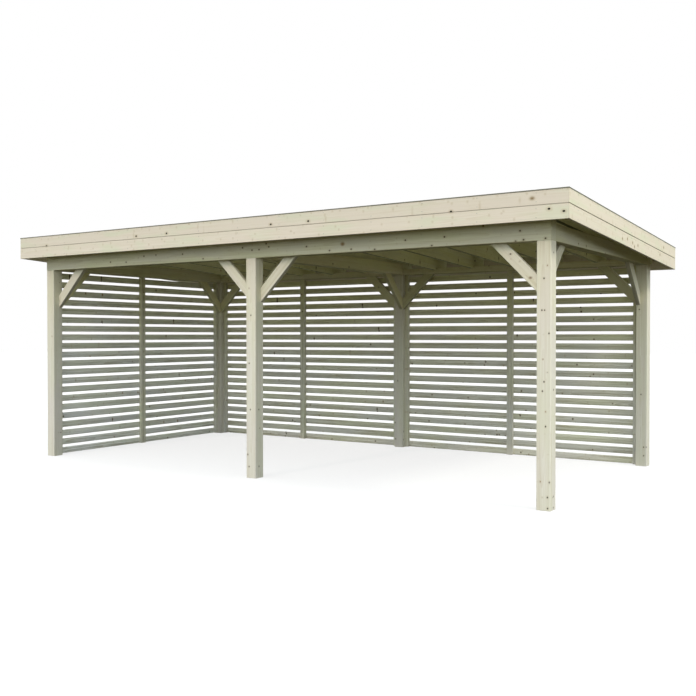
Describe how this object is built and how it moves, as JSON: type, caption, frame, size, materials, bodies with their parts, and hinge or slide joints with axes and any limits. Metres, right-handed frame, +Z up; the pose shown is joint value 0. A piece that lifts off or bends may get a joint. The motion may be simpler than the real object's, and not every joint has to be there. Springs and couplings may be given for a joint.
{
  "type": "timber carport",
  "caption": "Open timber carport with square posts, corner braces, a flat roof falling to the back, boarded fascia, and slatted screens at the left end and the back.",
  "frame": {"origin": "on the ground under the middle of the plan", "axes": "+X along the front towards the open end, +Y from the front to the back, +Z up"},
  "size_m": [6.528, 3.43, 2.5295],
  "materials": {
    "treated_spruce": "planed pressure-treated spruce, pale grey-green",
    "roof_timber": "planed pressure-treated spruce, unweathered",
    "roofing_felt": "mineral-faced roofing felt",
    "edge_trim": "grey coated sheet"
  },
  "bodies": {
    "root": {"post_front_left": "treated_spruce", "post_front_middle": "treated_spruce", "post_front_right": "treated_spruce", "post_rear_left": "treated_spruce", "post_rear_middle": "treated_spruce", "post_rear_right": "treated_spruce", "front_beam": "treated_spruce", "rear_beam": "treated_spruce", "left_beam": "treated_spruce", "middle_beam": "treated_spruce", "right_beam": "treated_spruce", "brace_front_left": "treated_spruce", "brace_front_middle_left": "treated_spruce", "brace_front_middle_right": "treated_spruce", "brace_front_right": "treated_spruce", "brace_rear_left": "treated_spruce", "brace_rear_middle_left": "treated_spruce", "brace_rear_middle_right": "treated_spruce", "brace_rear_right": "treated_spruce", "brace_left_front": "treated_spruce", "brace_left_rear": "treated_spruce", "brace_middle_front": "treated_spruce", "brace_middle_rear": "treated_spruce", "brace_right_front": "treated_spruce", "brace_right_rear": "treated_spruce", "rafters": "roof_timber", "left_verge_rafter": "roof_timber", "right_verge_rafter": "roof_timber", "roof_boards": "roof_timber", "roof_covering": "roofing_felt", "front_fascia_upper": "treated_spruce", "front_fascia_lower": "treated_spruce", "rear_fascia_upper": "treated_spruce", "rear_fascia_lower": "treated_spruce", "left_fascia_upper": "treated_spruce", "left_fascia_lower": "treated_spruce", "right_fascia_upper": "treated_spruce", "right_fascia_lower": "treated_spruce", "front_edge_trim": "edge_trim", "rear_edge_trim": "edge_trim", "left_edge_trim": "edge_trim", "right_edge_trim": "edge_trim", "left_screen_slats": "treated_spruce", "left_screen_stiles": "treated_spruce", "rear_left_screen_slats": "treated_spruce", "rear_left_screen_stiles": "treated_spruce", "rear_right_screen_slats": "treated_spruce", "rear_right_screen_stiles": "treated_spruce"}
  },
  "joints": []
}
